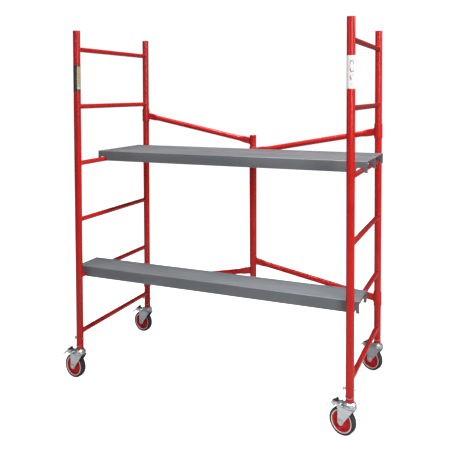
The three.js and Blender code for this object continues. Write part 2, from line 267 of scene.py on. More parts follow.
def tube(outer, inner, low, high, rim=0.6, extra=(), count=64):
    """An open-ended tube along Z with rounded rims; extra lists more heights that get a ring."""
    heights = sorted(h for h in extra if low < h < high)
    profile = [(inner, low + rim), (inner + rim * 0.6, low), (outer - rim, low), (outer, low + rim)]
    profile += [(outer, h) for h in heights]
    profile += [(outer, high - rim), (outer - rim, high), (inner + rim * 0.6, high), (inner, high - rim)]
    profile += [(inner, h) for h in reversed(heights)]
    return Shape().lathe(profile, count)


# ---------------------------------------------------------------- materials

class Nodes:
    """A short way to wire a material's node tree."""

    def __init__(self, name):
        self.material = bpy.data.materials.new(name)
        self.material.use_nodes = True
        self.tree = self.material.node_tree
        self.shader = self.tree.nodes["Principled BSDF"]
        self.coords = self.add("ShaderNodeTexCoord").outputs["Object"]

    def add(self, kind, **inputs):
        node = self.tree.nodes.new(kind)
        for key, value in inputs.items():
            name = key.replace("_", " ")
            if name in node.inputs:
                self.set(node.inputs[name], value)
            else:
                setattr(node, key, value)
        return node

    def set(self, socket, value):
        if isinstance(value, bpy.types.NodeSocket):
            self.tree.links.new(value, socket)
        else:
            socket.default_value = value

    def noise(self, scale, detail=3.0, stretch=(1, 1, 1)):
        mapping = self.add("ShaderNodeMapping", Vector=self.coords, Scale=stretch)
        noise = self.add("ShaderNodeTexNoise", Vector=mapping.outputs[0], Scale=scale, Detail=detail)
        return noise.outputs[0]

    def ramp(self, value, low, high, start=0.0, stop=1.0):
        mapped = self.add("ShaderNodeMapRange", Value=value)
        mapped.inputs["From Min"].default_value = start
        mapped.inputs["From Max"].default_value = stop
        mapped.inputs["To Min"].default_value = low
        mapped.inputs["To Max"].default_value = high
        return mapped.outputs[0]

    def mix(self, factor, a, b):
        node = self.tree.nodes.new("ShaderNodeMix")
        node.data_type = "RGBA"
        self.set(node.inputs[0], factor)
        self.set(node.inputs[6], (*a, 1) if isinstance(a, tuple) else a)
        self.set(node.inputs[7], (*b, 1) if isinstance(b, tuple) else b)
        return node.outputs[2]

    def bump(self, height, strength, distance):
        node = self.add("ShaderNodeBump", Height=height, Strength=strength, Distance=distance)
        return node.outputs[0]

    def rim_shade(self, color, dark, start=0.34, stop=0.92):
        """Darker where the surface turns away from the eye, as round tube does among dark surroundings."""
        facing = self.add("ShaderNodeLayerWeight", Blend=0.5).outputs["Facing"]
        return self.mix(self.ramp(facing, 0.0, 1.0, start, stop), color, dark)

    def finish(self, color, roughness, metallic=0.0, normal=None, coat=0.0, coat_roughness=0.1):
        shader = self.shader
        self.set(shader.inputs["Base Color"], (*color, 1) if isinstance(color, tuple) else color)
        self.set(shader.inputs["Roughness"], roughness)
        self.set(shader.inputs["Metallic"], metallic)
        self.set(shader.inputs["Coat Weight"], coat)
        self.set(shader.inputs["Coat Roughness"], coat_roughness)
        if normal is not None:
            self.tree.links.new(normal, shader.inputs["Normal"])
        return self.material


def red_powder_coat():
    n = Nodes("red_powder_coat")
    mottle = n.ramp(n.noise(9, 4), 0.0, 1.0, 0.3, 0.7)
    color = n.mix(mottle, (0.50, 0.007, 0.006), (0.59, 0.010, 0.009))
    dust = n.ramp(n.noise(160, 4), 0.0, 1.0, 0.62, 0.8)
    color = n.mix(dust, color, (0.62, 0.04, 0.035))
    color = n.rim_shade(color, (0.14, 0.001, 0.002))
    rough = n.ramp(n.noise(40, 3), 0.26, 0.38)
    peel = n.bump(n.noise(420, 2), 0.12, 0.0006)
    n.set(n.shader.inputs["Specular IOR Level"], 0.22)
    return n.finish(color, rough, 0.0, peel, coat=0.22, coat_roughness=0.12)


def weld_paint():
    n = Nodes("red_weld_paint")
    mottle = n.noise(60, 4)
    color = n.mix(mottle, (0.36, 0.006, 0.006), (0.54, 0.014, 0.013))
    rough = n.ramp(n.noise(90, 3), 0.3, 0.5)
    lumps = n.bump(n.noise(300, 3), 0.5, 0.001)
    return n.finish(color, rough, 0.0, lumps, coat=0.3, coat_roughness=0.2)


def grey_deck_paint():
    n = Nodes("grey_deck_paint")
    clouds = n.ramp(n.noise(3.2, 5, (1, 3, 3)), 0.0, 1.0, 0.32, 0.68)
    color = n.mix(clouds, (0.128, 0.141, 0.156), (0.170, 0.184, 0.198))
    scuffs = n.ramp(n.noise(26, 5, (0.12, 1, 1)), 0.0, 0.5, 0.6, 0.8)
    color = n.mix(scuffs, color, (0.235, 0.245, 0.252))
    grain = n.noise(900, 2)
    color = n.mix(n.ramp(grain, 0.0, 0.35, 0.5, 0.75), color, (0.108, 0.117, 0.129))
    rough = n.ramp(n.noise(14, 4), 0.34, 0.5)
    peel = n.bump(n.noise(520, 2), 0.12, 0.0005)
    return n.finish(color, rough, 0.1, peel, coat=0.15, coat_roughness=0.3)


def zinc_plate():
    n = Nodes("zinc_plate")
    tint = n.ramp(n.noise(34, 4), 0.0, 1.0, 0.3, 0.7)
    color = n.mix(tint, (0.56, 0.59, 0.62), (0.70, 0.72, 0.73))
    bloom = n.ramp(n.noise(120, 5), 0.0, 0.6, 0.55, 0.8)
    color = n.mix(bloom, color, (0.56, 0.58, 0.63))
    rough = n.ramp(n.noise(55, 4), 0.24, 0.42)
    grain = n.bump(n.noise(700, 3), 0.1, 0.0004)
    return n.finish(color, rough, 0.92, grain)


def red_wheel_plastic():
    n = Nodes("red_wheel_plastic")
    swirl = n.noise(30, 4)
    color = n.mix(swirl, (0.54, 0.008, 0.010), (0.68, 0.014, 0.014))
    n.set(n.shader.inputs["Specular IOR Level"], 0.25)
    rough = n.ramp(n.noise(80, 3), 0.28, 0.42)
    grain = n.bump(n.noise(900, 2), 0.08, 0.0003)
    return n.finish(color, rough, 0.0, grain, coat=0.1, coat_roughness=0.2)


def pale_rim():
    n = Nodes("pale_rim")
    cloud = n.noise(50, 3)
    color = n.mix(cloud, (0.80, 0.68, 0.71), (0.92, 0.84, 0.86))
    grain = n.bump(n.noise(800, 2), 0.1, 0.0003)
    return n.finish(color, n.ramp(cloud, 0.3, 0.45), 0.0, grain, coat=0.3)


def tyre_rubber():
    n = Nodes("tyre_rubber")
    dust = n.ramp(n.noise(22, 6), 0.0, 1.0, 0.4, 0.75)
    color = n.mix(dust, (0.013, 0.015, 0.020), (0.036, 0.041, 0.050))
    rough = n.ramp(n.noise(60, 3), 0.5, 0.72)
    pores = n.bump(n.noise(1400, 3), 0.35, 0.0005)
    return n.finish(color, rough, 0.0, pores)


def black_plastic():
    n = Nodes("black_plastic")
    cloud = n.noise(40, 4)
    color = n.mix(cloud, (0.010, 0.010, 0.014), (0.024, 0.024, 0.030))
    grain = n.bump(n.noise(1100, 2), 0.25, 0.0004)
    return n.finish(color, n.ramp(cloud, 0.35, 0.5), 0.0, grain)


def spring_wire():
    n = Nodes("spring_wire")
    streak = n.noise(200, 3)
    color = n.mix(streak, (0.34, 0.35, 0.37), (0.55, 0.56, 0.58))
    return n.finish(color, n.ramp(streak, 0.25, 0.4), 0.95)


def label_film(name, low, high):
    n = Nodes(name)
    fibre = n.noise(240, 4)
    color = n.mix(fibre, low, high)
    grain = n.bump(n.noise(600, 2), 0.08, 0.0003)
    return n.finish(color, n.ramp(fibre, 0.25, 0.4), 0.0, grain, coat=0.5, coat_roughness=0.08)


RED = red_powder_coat()
WELD = weld_paint()
DECK = grey_deck_paint()
ZINC = zinc_plate()
HUB_RED = red_wheel_plastic()
RIM = pale_rim()
RUBBER = tyre_rubber()
BLACK = black_plastic()
WIRE = spring_wire()
LABEL_WHITE = label_film("label_white", (0.80, 0.80, 0.80), (0.90, 0.90, 0.89))
LABEL_RED = label_film("label_red", (0.32, 0.015, 0.03), (0.42, 0.025, 0.045))
LABEL_BLACK = label_film("label_black", (0.018, 0.020, 0.030), (0.034, 0.036, 0.048))
LABEL_YELLOW = label_film("label_yellow", (0.38, 0.30, 0.13), (0.46, 0.37, 0.17))
LABEL_TAN = label_film("label_tan", (0.50, 0.34, 0.22), (0.58, 0.40, 0.27))
LABEL_PINK = label_film("label_pink", (0.46, 0.20, 0.23), (0.54, 0.27, 0.29))


def put(obj, body, slot, *nodes):
    """Ties a piece to its body and hides the CAD nodes that it stands for; the slot argument is not used."""
    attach(obj, body)
    if nodes:
        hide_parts(*nodes)
    return obj


def centre(node):
    low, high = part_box(node)
    return (low + high) / 2


# ---------------------------------------------------------------- ladder frames

def leg_places():
    for side in SIDES:
        for end in ENDS:
            yield side, end, centre(f"{side}_{end}_leg")


def build_legs():
    """Open red tubes with a cross hole for the caster pin."""
    for side, end, middle in leg_places():
        name = f"{side}_{end}_leg"
        low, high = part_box(name)
        pin = LEG_BOTTOM + PIN_ABOVE_LEG_BOTTOM
        shape = tube(LEG_OUTER, LEG_INNER, low.z / MM, high.z / MM, 0.7, (pin - 8, pin + 8))
        obj = shape.build(f"{name}_tube", RED, at(middle.x, middle.y))
        hole = Shape().spindle([(PIN_HOLE, -30), (PIN_HOLE, 30)], 24, turn(math.pi / 2, "Y"))
        carve(obj, hole, at(middle.x, middle.y, pin * MM))
        put(obj, f"{side}_ladder", "red_paint", name)


def scoop(radius, x):
    return math.sqrt(max(radius * radius - x * x, 0.0))


def rung_shape(half):
    """A tube along Y whose ends are shaped to sink into the legs' walls."""
    count = 48
    rings = []
    leg_wall = LEG_OUTER - 0.8
    for radius, levels in ((RUNG_OUTER, (-1, -0.5, 0, 0.5, 1)), (RUNG_INNER, (1, 0, -1))):
        for level in levels:
            ring = []
            for i in range(count):
                x = radius * math.cos(TURN * i / count)
                z = radius * math.sin(TURN * i / count)
                y = level * (half - scoop(leg_wall, x)) if abs(level) == 1 else level * half
                ring.append(Vector((x, y, z)))
            rings.append(ring)
    return Shape().loft(rings, join=True)


def rung_bead(half, end):
    """The ripple-faced fillet weld round one end of a rung."""
    count = 72
    path = []
    for i in range(count):
        angle = TURN * i / count
        x = (RUNG_OUTER + 0.7) * math.cos(angle)
        z = (RUNG_OUTER + 0.7) * math.sin(angle)
        path.append(Vector((x, end * (half - scoop(LEG_OUTER + 0.6, x)), z)))
    return Shape().cord(path, lambda t: 2.0 + 0.28 * math.sin(TURN * 22 * t + end), 10, closed=True)


def build_rungs():
    for side in SIDES:
        beads = Shape()
        for i in range(RUNGS):
            name = f"{side}_rung_{i + 1}"
            middle = centre(name)
            half = abs(centre(f"{side}_rear_leg").y - middle.y) / MM
            obj = rung_shape(half).build(f"{name}_tube", RED, at(*middle))
            put(obj, f"{side}_ladder", "red_paint", name)
            for end in (-1, 1):
                beads.add(rung_bead(half, end), at(*(middle / MM)))
        welds = beads.build(f"{side}_ladder_welds", WELD)
        put(welds, f"{side}_ladder", "red_paint")


def label_shell(radius, thickness, low, high, start, stop, corner=4.0):
    """A thin film wrapped round a leg between two angles, with rounded corners."""
    steps = 40
    columns = []
    width = math.radians(stop - start) * radius
    for i in range(steps + 1):
        share = i / steps
        angle = math.radians(start + (stop - start) * share)
        inset_x = min(share * width, (1 - share) * width)
        inset = corner - scoop(corner, corner - inset_x) if inset_x < corner else 0.0
        ring = []
        for r, z in ((radius, low + inset), (radius + thickness, low + inset),
                     (radius + thickness, high - inset), (radius, high - inset)):
            ring.append(Vector((r * math.cos(angle), r * math.sin(angle), z)))
        columns.append(ring)
    return Shape().loft(columns)


def label_ring(radius, thickness, angle, z, across, up, width):
    """A thin oval ring lying on a leg; across and up are the half sizes to the middle of its band."""
    steps = 48
    sections = []
    for i in range(steps):
        turn_angle = TURN * i / steps
        ring = []
        for rise, out in ((0, -1), (thickness, -1), (thickness, 1), (0, 1)):
            side = (across + out * width / 2) * math.cos(turn_angle)
            height = z + (up + out * width / 2) * math.sin(turn_angle)
            around = math.radians(angle) + side / radius
            reach = radius + rise
            ring.append(Vector((reach * math.cos(around), reach * math.sin(around), height)))
        sections.append(ring)
    return Shape().loft(sections, join=True)


def build_labels():
    """Two plain films without any words: blocks, bars and a ring of colour only."""
    film = LEG_OUTER + 0.06
    left = centre("left_front_leg")
    place = at(left.x, left.y)
    base = label_shell(film, 0.15, 1554, 1694, -150, 46, 1.5)
    put(base.build("left_label_base", LABEL_BLACK, place), "left_ladder", "red_paint")
    panel = label_shell(film + 0.15, 0.1, 1564, 1686, -56, 45, 8.0)
    put(panel.build("left_label_panel", LABEL_YELLOW, place), "left_ladder", "red_paint")
    square = label_shell(film + 0.25, 0.08, 1580, 1590, -40, -12, 1.0)
    put(square.build("left_label_square", LABEL_TAN, place), "left_ladder", "red_paint")
    bar = label_shell(film + 0.25, 0.08, 1570, 1573.5, -48, 16, 1.0)
    put(bar.build("left_label_bar", LABEL_WHITE, place), "left_ladder", "red_paint")

    right = centre("right_front_leg")
    place = at(right.x, right.y)
    base = label_shell(film, 0.15, 1560, 1706, -176, 20)
    put(base.build("right_label_base", LABEL_WHITE, place), "right_ladder", "red_paint")
    ring = label_ring(film + 0.15, 0.1, -64, 1658, 9.5, 25, 5.5)
    put(ring.build("right_label_ring", LABEL_RED, place), "right_ladder", "red_paint")
    marks = Shape()
    for low, high, middle in ((1572, 1590, -64), (1594, 1610, -72), (1613, 1626, -62), (1600, 1618, -86)):
        marks.add(label_shell(film + 0.15, 0.1, low, high, middle - 7, middle + 7, 1.0))
    put(marks.build("right_label_marks", LABEL_PINK, place), "right_ladder", "red_paint")


# ---------------------------------------------------------------- folding rear brace

def stadium(half_height, half_thickness, count):
    """Evenly spaced points round a flat-sided loop, from the middle of one long side."""
    straight = 2 * (half_height - half_thickness)
    bend = math.pi * half_thickness
    total = 2 * straight + 2 * bend
    points = []
    for i in range(count):
        d = total * i / count
        if d < straight / 2:
            points.append((half_thickness, d))
        elif d < straight / 2 + bend:
            a = (d - straight / 2) / half_thickness
            points.append((half_thickness * math.cos(a), straight / 2 + half_thickness * math.sin(a)))
        elif d < 1.5 * straight + bend:
            points.append((-half_thickness, straight / 2 - (d - straight / 2 - bend)))
        elif d < 1.5 * straight + 2 * bend:
            a = math.pi + (d - 1.5 * straight - bend) / half_thickness
            points.append((half_thickness * math.cos(a), -straight / 2 + half_thickness * math.sin(a)))
        else:
            points.append((half_thickness, d - total))
    return points


def smooth_step(t):
    t = min(max(t, 0.0), 1.0)
    return t * t * (3 - 2 * t)


def arm_section(flatness, slope, count=48):
    """Offsets (across, up) of the crimped tube's section in a vertical plane."""
    flat = stadium(ARM_FLAT_HALF_HEIGHT, ARM_FLAT_HALF_THICKNESS, count)
    section = []
    for i, (thin, tall) in enumerate(flat):
        angle = TURN * i / count
        across = ARM_RADIUS * math.cos(angle) * (1 - flatness) + thin * flatness
        up = ARM_RADIUS * math.sin(angle) * (1 - flatness) + tall * flatness
        section.append((across, up / math.cos(slope)))
    return section


def arm_shape(run, rise, sleeve, post):
    """A round tube, crimped to a tall flat at both ends, from a leg sleeve to the brace post."""
    slope = math.atan2(rise, abs(run))
    start, stop = sleeve - 1.0, abs(run) - post + 1.0
    ramp = [0, 10, 20, 28, 33, 38, 43, 48, 53, 58, 63, 68, 73, 78, 84, 92]
    stations = [start + s for s in ramp]
    stations += [start + (stop - start) * k / 8 for k in range(2, 7)]
    stations += [stop - s for s in reversed(ramp)]
    rings = []
    for x in stations:
        from_end = min(x - start, stop - x)
        flatness = 1 - smooth_step((from_end - ARM_FLAT_LENGTH) / ARM_FLARE)
        z = rise * x / abs(run)
        rings.append([Vector((math.copysign(x, run), dy, z + dz)) for dy, dz in arm_section(flatness, slope)])
    return Shape().loft(rings)


def arm_bead(radius, slope, toward):
    """The weld round an arm's flat end, on a sleeve or post of the given radius."""
    count = 64
    path = []
    for thin, tall in stadium(ARM_FLAT_HALF_HEIGHT + 0.5, ARM_FLAT_HALF_THICKNESS + 0.5, count):
        x = scoop(radius + 0.5, thin)
        path.append(Vector((toward * x, thin, tall / math.cos(slope) + x * math.tan(slope))))
    return Shape().cord(path, lambda t: 2.0 + 0.3 * math.sin(TURN * 20 * t), 10, closed=True)


def build_wing(side):
    body = f"{side}_wing"
    post_name = "brace_post" if side == "left" else "brace_post_sleeve"
    post_outer = LEG_OUTER if side == "left" else POST_SLEEVE_OUTER
    post_inner = LEG_INNER if side == "left" else POST_SLEEVE_INNER
    post = centre(post_name)
    beads = Shape()
    for level in ("upper", "lower"):
        sleeve_name = f"{body}_{level}_sleeve"
        arm_name = f"{body}_{level}_arm"
        sleeve = centre(sleeve_name)
        low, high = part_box(sleeve_name)
        half = (high.z - low.z) / 2 / MM
        shape = tube(SLEEVE_OUTER, SLEEVE_INNER, -half, half, 0.8)
        put(shape.build(f"{sleeve_name}_tube", RED, at(*sleeve)), body, "red_paint", sleeve_name)

        arm_low, arm_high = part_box(arm_name)
        run = (post.x - sleeve.x) / MM
        rise = arm_rise(sleeve.z, arm_low.z, arm_high.z, run)
        arm = arm_shape(run, rise, SLEEVE_OUTER, post_outer)
        put(arm.build(f"{arm_name}_tube", RED, at(*sleeve)), body, "red_paint", arm_name)

        slope = math.atan2(rise, abs(run))
        toward = math.copysign(1, run)
        beads.add(arm_bead(SLEEVE_OUTER, slope, toward), at(*(sleeve / MM)))
        at_post = at(post.x / MM, post.y / MM, sleeve.z / MM + rise)
        beads.add(arm_bead(post_outer, -slope, -toward), at_post)
    low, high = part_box(post_name)
    shape = tube(post_outer, post_inner, low.z / MM, high.z / MM, 0.7)
    put(shape.build(f"{post_name}_tube", RED, at(post.x, post.y)), body, "red_paint", post_name)
    put(beads.build(f"{body}_welds", WELD), body, "red_paint")


def arm_rise(sleeve_z, low, high, run):
    """How far the arm climbs from its sleeve to the post, from the box of its CAD node."""
    span = (high - low) / MM - 2 * ARM_FLAT_HALF_HEIGHT
    post_share = abs(run) / (abs(run) - SLEEVE_OUTER - LEG_OUTER)
    rise = span * post_share
    return -rise if (low + high) / 2 < sleeve_z else rise


# ---------------------------------------------------------------- planks

PLANKS = ("upper_rear_plank", "upper_middle_plank", "lower_front_plank")


def plank_section(width):
    """The folded sheet's outline in (across, up), its deck top at 0."""
    half = width / 2 - PLANK_SHEET / 2
    low = -PLANK_HEIGHT + PLANK_SHEET / 2
    lip = width / 2 - PLANK_FLANGE
    middle = -PLANK_SHEET / 2
    path = [(-lip, low), (-half, low), (-half, middle), (half, middle), (half, low), (lip, low)]
    return thickened(rounded(path, 3.2, 5), PLANK_SHEET)


def sheet_along_x(outline, stations):
    return Shape().loft([[Vector((x, a, b)) for a, b in outline] for x in stations])


def notch_cutter(middle, width):
    half = HOOK_WIDTH / 2
    bottom = -PLANK_HEIGHT
    top = bottom + HOOK_DEPTH
    outline = [(-half, bottom - 5), (half, bottom - 5)]
    outline += arc(half - HOOK_CORNER, top - HOOK_CORNER, HOOK_CORNER, 0, 90, 8)
    outline += arc(HOOK_CORNER - half, top - HOOK_CORNER, HOOK_CORNER, 90, 180, 8)
    place = Matrix.Translation((middle, 0, 0)) @ turn(math.pi / 2, "X")
    return Shape().prism(outline, -width / 2 - 6, width / 2 + 6, place)


def build_planks():
    for name in PLANKS:
        low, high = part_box(name)
        middle = (low + high) / 2
        half = (high.x - low.x) / 2 / MM
        width = (high.y - low.y) / MM
        notch_at = half - HOOK_LIP - HOOK_WIDTH / 2
        near = [half, half - 0.5, half - HOOK_LIP, notch_at, notch_at - HOOK_WIDTH / 2, notch_at - 60]
        stations = [-s for s in near] + [-400, -200, 0, 200, 400] + near[::-1]
        place = at(middle.x, middle.y, high.z)
        obj = sheet_along_x(plank_section(width), stations).build(f"{name}_sheet", DECK, place)
        cutters = notch_cutter(-notch_at, width).add(notch_cutter(notch_at, width))
        carve(obj, cutters, place)
        put(obj, name, "grey_deck", name)
        build_rib(name)


def build_rib(name):
    rib = f"{name}_rib"
    low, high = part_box(rib)
    middle = (low + high) / 2
    half = RIB_WIDTH / 2 - 1
    path = [(-half, -RIB_DEPTH), (-half, -1), (half, -1), (half, -RIB_DEPTH)]
    outline = thickened(rounded(path, 3.0, 4), 2.0)
    reach = (high.y - low.y) / 2 / MM
    stations = (-reach, -reach / 2, 0, reach / 2, reach)
    shape = Shape().loft([[Vector((a, y, b)) for a, b in outline] for y in stations])
    obj = shape.build(f"{rib}_channel", DECK, at(middle.x, middle.y, high.z))
    put(obj, name, "grey_deck", rib)


# ---------------------------------------------------------------- casters

def caster_place(side, end):
    """The caster's frame: origin on the floor below the stem, X the way the wheel trails, Y the axle."""
    stem = centre(f"{side}_{end}_leg")
    axle = centre(f"{side}_{end}_caster_hub")
    angle = math.atan2(axle.y - stem.y, axle.x - stem.x)
    return at(stem.x, stem.y) @ turn(angle, "Z")


def stem_shape():
    low = RACEWAY_TOP + 0.3
    top = LEG_BOTTOM + STEM_LENGTH
    return Shape().spindle([
        (0.5, low), (26, low), (28, low + 1), (28, low + 4.2), (26.5, low + 5.6), (23, low + 6.2),
        (22, low + 7), (22, LEG_BOTTOM - 1.2), (21, LEG_BOTTOM - 0.3), (15.8, LEG_BOTTOM - 0.3),
        (15.8, top - 2), (14, top), (0.5, top),
    ], 64)


def fork_width(z):
    """Front and rear edge of a cheek at a height."""
    floor = WHEEL_RADIUS - FORK_FOOT
    if z < WHEEL_RADIUS:
        reach = scoop(FORK_FOOT, WHEEL_RADIUS - z) if z > floor else 0.0
        return TRAIL - max(reach, 3.0), TRAIL + max(reach, 3.0)
    t = (z - WHEEL_RADIUS) / (FORK_CROWN - WHEEL_RADIUS)
    front = TRAIL - FORK_FOOT + (FORK_FRONT - TRAIL + FORK_FOOT) * min(t, 1.0)
    return front, FORK_REAR


def fork_shape():
    """One bent sheet: a cheek, the crown and the other cheek, with rolled edges, below the raceway drum."""
    outside = FORK_INSIDE + FORK_SHEET / 2
    top = FORK_CROWN + 2.0
    heights = [WHEEL_RADIUS - FORK_FOOT + 0.2, 49.5, 51, 53, 56, 60, 63.5, 70, 80, 90, 100, 110, 120, 128]
    bend = arc(outside - 6, top - 6, 6, 0, 90, 6)
    half = [(outside, z) for z in heights] + bend + [(outside - 12, top), (4, top)]
    path = half + [(-y, z) for y, z in reversed(half)]
    width_steps = 10
    rings = []
    sheet = FORK_SHEET / 2
    for i, (y, z) in enumerate(path):
        before, after = Vector(path[max(i - 1, 0)]), Vector(path[min(i + 1, len(path) - 1)])
        along = (after - before).normalized()
        normal = Vector((-along.y, along.x))
        front, rear = fork_width(z)
        if z > FORK_CROWN - 8:
            rear = FORK_REAR - 7 * smooth_step((z - FORK_CROWN + 8) / 8)
        ring = []
        edge = 0.9
        xs = [front + edge + (rear - front - 2 * edge) * k / width_steps for k in range(width_steps + 1)]
        for x in xs:
            ring.append(Vector((x, y + normal.x * sheet, z + normal.y * sheet)))
        ring.append(Vector((rear, y + normal.x * sheet * 0.4, z + normal.y * sheet * 0.4)))
        ring.append(Vector((rear, y - normal.x * sheet * 0.4, z - normal.y * sheet * 0.4)))
        for x in reversed(xs):
            ring.append(Vector((x, y - normal.x * sheet, z - normal.y * sheet)))
        ring.append(Vector((front, y - normal.x * sheet * 0.4, z - normal.y * sheet * 0.4)))
        ring.append(Vector((front, y + normal.x * sheet * 0.4, z + normal.y * sheet * 0.4)))
        rings.append(ring)
    shape = Shape().loft(rings)
    low = FORK_CROWN + 3.0
    shape.spindle([
        (0.5, low), (26, low), (29.5, low + 1.2), (RACEWAY_RADIUS, low + 3.5),
        (RACEWAY_RADIUS, RACEWAY_TOP - 5.5), (30.2, RACEWAY_TOP - 4.2), (30.2, RACEWAY_TOP - 3.2),
        (RACEWAY_RADIUS, RACEWAY_TOP - 2.2),
        (30.2, RACEWAY_TOP - 0.6), (28.5, RACEWAY_TOP), (0.5, RACEWAY_TOP),
    ], 64)
    return shape


def ear_shape():
    """The two tabs that carry the pedal's pivot, just proud of the cheeks."""
    outline = [(FORK_REAR - 8, 124), (FORK_REAR, 120)] + arc(PEDAL_PIVOT_X, PEDAL_PIVOT_Z, 7, -20, 180, 12)
    shape = Shape()
    stand = Matrix.Rotation(math.pi / 2, 4, "X")
    for side in (-1, 1):
        middle = side * (FORK_INSIDE + FORK_SHEET / 2)
        shape.prism(outline, middle - 1.7, middle + 1.7, stand)
    return shape


def hex_ring(radius, z, chamfer=0.0):
    """A six-sided ring of 36 points, eased towards a circle by chamfer."""
    ring = []
    for i in range(36):
        angle = TURN * i / 36
        flat = radius * math.cos(math.pi / 6) / math.cos((angle % (TURN / 6)) - math.pi / 6)
        r = min(flat, radius * (1 - chamfer))
        ring.append(Vector((r * math.cos(angle), r * math.sin(angle), z)))
    return ring


def axle_shape():
    """The wheel bolt along Y: washer and head on one side, washer, nut and thread end on the other."""
    face = FORK_INSIDE + FORK_SHEET
    lay = turn(-math.pi / 2, "X")
    shape = Shape().spindle([(AXLE_RADIUS, -face - 1), (AXLE_RADIUS, face + 1)], 32, lay)
    for side in (-1, 1):
        flip = lay @ Matrix.Scale(side, 4, (0, 0, 1))
        shape.spindle([(0.5, face + 0.1), (11.5, face + 0.1), (12, face + 0.5), (12, face + 1.5),
                       (11.5, face + 1.8), (0.5, face + 1.8)], 40, flip)
        low, high = face + 1.8, face + 6.6
        rings = [hex_ring(10.2, low, 0.06), hex_ring(10.5, low + 0.8), hex_ring(10.5, high - 1.2),
                 hex_ring(10.0, high, 0.1)]
        shape.loft([[flip @ p for p in ring] for ring in rings])
        thread_end = [(5.4, high - 1), (5.4, high + 0.6), (4.4, high + 1.4)]
        head_dome = [(7, high - 0.5), (6.5, high + 0.3)]
        shape.spindle(thread_end if side > 0 else head_dome, 28, flip)
    return shape


def hub_shape():
    """A dished disc: boss, web and stepped rim, turned about Y."""
    half = [(6.9, 18.3), (12.2, 18.3), (13, 17.5), (13.6, 9), (15.5, 6.6), (19, 6), (34, 5.4), (37, 6.4),
            (39.2, 9.6), (40.2, 12), (41.4, 13), (47.6, 13)]
    profile = half + [(r, -z) for r, z in reversed(half)]
    return Shape().lathe(profile, 96, turn(math.pi / 2, "X"))


def rib_shape():
    """Shallow moulded ribs on both faces of the web."""
    shape = Shape()
    count = 8
    for i in range(count):
        for side in (-1, 1):
            swing = turn(TURN * i / count, "Y")
            outline = [(13.5, -1.1), (39, -0.8), (39, 0.8), (13.5, 1.1)]
            low, high = (4.5, 7.4) if side > 0 else (-7.4, -4.5)
            lay = swing @ turn(math.pi / 2, "X")
            shape.prism(outline, low, high, lay)
    return shape


def rim_ring_shape():
    """The pale bead between hub and tyre on both faces."""
    shape = Shape()
    lay = turn(math.pi / 2, "X")
    for side in (-1, 1):
        profile = [(47.8, 10), (47.8, 13.6), (48.5, 14.6), (50.5, 15.2), (52.2, 14.9), (52.8, 14), (52.8, 10)]
        shape.lathe([(r, side * z) for r, z in profile], 96, lay)
    return shape


def tyre_shape():
    """A rounded tread with two fine grooves and a raised seam, turned about Y."""
    r = WHEEL_RADIUS
    half = [(53.2, 11), (53.2, 14.2), (54.5, 15.2), (57.2, 15.9)]
    for degrees in (8, 25, 42, 58, 74):
        angle = math.radians(degrees)
        half.append((57.4 + 6.1 * math.sin(angle), 8.2 + 7.8 * math.cos(angle)))
    half += [(r, 7.4), (r, 6.2), (r - 0.9, 6.0), (r - 0.9, 5.2), (r, 5.0), (r, 0.5), (r + 0.15, 0.0)]
    profile = half + [(a, -b) for a, b in reversed(half[:-1])]
    profile += [(TYRE_SEAT, -10), (TYRE_SEAT, 10)]
    return Shape().lathe(profile, 112, turn(math.pi / 2, "X"))


def pedal_shape():
    """The brake pedal: a strap that bends down to its toe, with side flanges."""
    path = [(PEDAL_PIVOT_X - 3, 143.6), (64, 144.2), (84, 141.5), (103, 123.5), (127, 102.3)]
    outline = thickened(rounded(path, 9, 6), 2.6)
    shape = Shape()
    count = len(outline)
    rings = []
    side_edge, near_edge = PEDAL_HALF_WIDTH, PEDAL_HALF_WIDTH - 0.8
    for y in (-side_edge, -near_edge, -7, 0, 7, near_edge, side_edge):
        edge = 0.75 if abs(y) == side_edge else 1.0
        ring = []
        for i, (x, z) in enumerate(outline):
            taper = 1.0 - 0.28 * smooth_step((x - 92) / 32)
            j = count - 1 - i
            mx, mz = (x + outline[j][0]) / 2, (z + outline[j][1]) / 2
            ring.append(Vector((mx + (x - mx) * edge, y * taper, mz + (z - mz) * edge)))
        rings.append(ring)
    shape.loft(rings)
    stand = turn(math.pi / 2, "X")
    flange = [(PEDAL_PIVOT_X - 3, 142), (PEDAL_PIVOT_X - 3, 137), (66, 133), (70, 128), (82, 126), (90, 134)]
    flange += [(84, 140.5), (64, 143)]
    for side in (-1, 1):
        middle = side * PEDAL_HALF_WIDTH
        shape.prism(rounded(flange, 3, 4, closed=True), middle - 1.1, middle + 1.1, stand)
    return shape


def shoe_shape():
    """The ribbed brake shoe under the pedal."""
    fall = math.sqrt(71.5 ** 2 - 34 ** 2), math.sqrt(71.5 ** 2 - 42 ** 2)
    outline = [(68.5, 141.5), (70, WHEEL_RADIUS + fall[0]), (78, WHEEL_RADIUS + fall[1]), (81, 140.5)]
    return Shape().prism(rounded(outline, 1.5, 3, closed=True), -12, 12, turn(math.pi / 2, "X"))


def knob_shape():
    """The black foot tab: a wedge that leans back from the top of the pedal."""
    corners = [(57, 144.5), (88, 141.5), (86, 146), (74, 150), (67, 160), (63, 160), (60, 151)]
    outline = rounded(corners, 2.2, 4, closed=True)
    rings = []
    for y, inset in ((-9, 0.82), (-8.4, 0.95), (-7, 1.0), (7, 1.0), (8.4, 0.95), (9, 0.82)):
        rings.append([Vector((72 + (x - 72) * inset, y, 147 + (z - 147) * inset)) for x, z in outline])
    return Shape().loft(rings)


def pivot_shape():
    """The pedal's pivot pin along Y, with a flat head outside each ear."""
    shaft = PEDAL_PIN_RADIUS
    return Shape().spindle([
        (0.4, -24), (4.6, -24), (4.8, -23), (shaft, -22.8), (shaft, 22.8), (4.8, 23), (4.6, 24), (0.4, 24),
    ], 20, turn(math.pi / 2, "X"))


